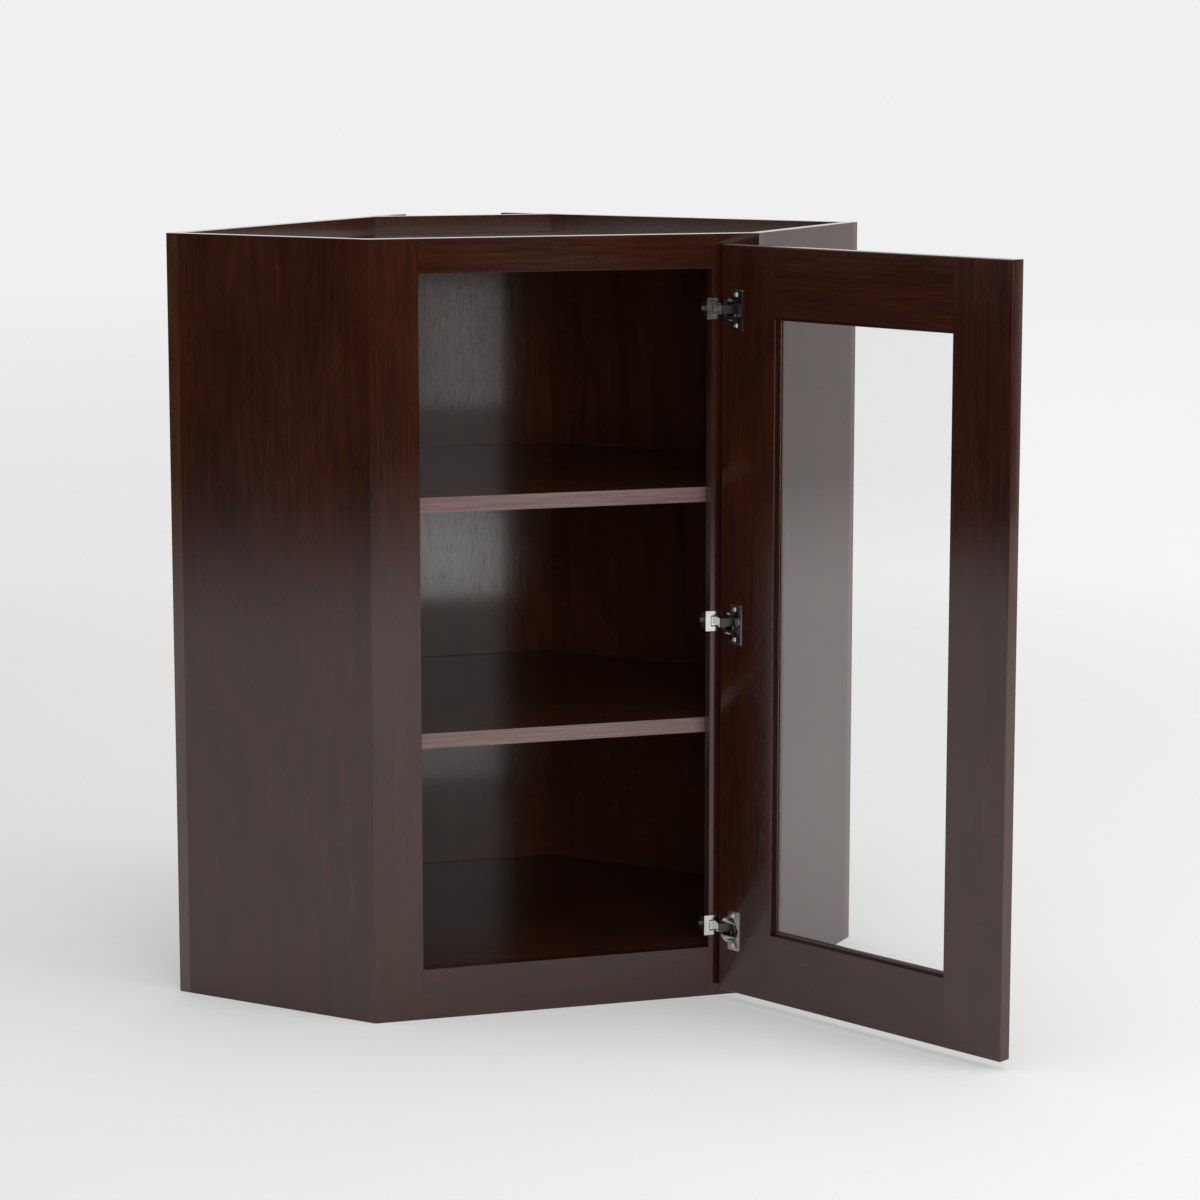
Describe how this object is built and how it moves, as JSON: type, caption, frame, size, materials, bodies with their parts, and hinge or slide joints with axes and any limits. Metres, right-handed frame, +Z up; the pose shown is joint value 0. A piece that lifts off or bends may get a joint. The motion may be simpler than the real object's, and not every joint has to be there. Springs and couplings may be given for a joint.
{
  "type": "corner wall cabinet",
  "caption": "Diagonal corner wall cabinet with a framed glass door on concealed hinges, open, and two shelves behind it.",
  "frame": {"origin": "the corner of the room at the cabinet's underside, where the planes of its two back panels meet", "axes": "+Z up; +X along the back wall to the cabinet's right side, +Y towards the back wall, so the left wall is the plane x = 0, the back wall is y = 0 and the door faces +X -Y"},
  "size_m": [0.9913, 0.6096, 0.9144],
  "materials": {
    "stained_wood": "satin lacquer over a dark espresso stain",
    "glass": "clear",
    "nickel": "bright nickel plate",
    "dark_nickel": "satin nickel plate"
  },
  "bodies": {
    "carcass": {"left_side_panel": "stained_wood", "right_side_panel": "stained_wood", "left_back_panel": "stained_wood", "right_back_panel": "stained_wood", "corner_back_panel": "stained_wood", "top_panel": "stained_wood", "bottom_panel": "stained_wood", "lower_shelf": "stained_wood", "upper_shelf": "stained_wood", "lower_shelf_pegs": "nickel", "upper_shelf_pegs": "nickel", "frame_left_stile": "stained_wood", "frame_right_stile": "stained_wood", "frame_top_rail": "stained_wood", "frame_bottom_rail": "stained_wood", "hinge_base_screws": "nickel", "hinge_arm_screws": "nickel", "lower_hinge_base": "nickel", "lower_hinge_arm": "nickel", "middle_hinge_base": "nickel", "middle_hinge_arm": "nickel", "upper_hinge_base": "nickel", "upper_hinge_arm": "nickel"},
    "door": {"door_latch_stile": "stained_wood", "door_hinge_stile": "stained_wood", "door_top_rail": "stained_wood", "door_bottom_rail": "stained_wood", "glass_pane": "glass", "glass_bead_top": "stained_wood", "glass_bead_bottom": "stained_wood", "glass_bead_hinge_side": "stained_wood", "glass_bead_latch_side": "stained_wood", "hinge_cup_screws": "nickel", "lower_hinge_cup": "dark_nickel", "lower_hinge_pin": "nickel", "middle_hinge_cup": "dark_nickel", "middle_hinge_pin": "nickel", "upper_hinge_cup": "dark_nickel", "upper_hinge_pin": "nickel"}
  },
  "joints": [
    {"name": "door_swing", "type": "hinge", "parent": "carcass", "child": "door", "pos_m": [0.59578, -0.31401, 0.4572], "axis": [0, 0, 1], "range_deg": [-120, 0]}
  ]
}
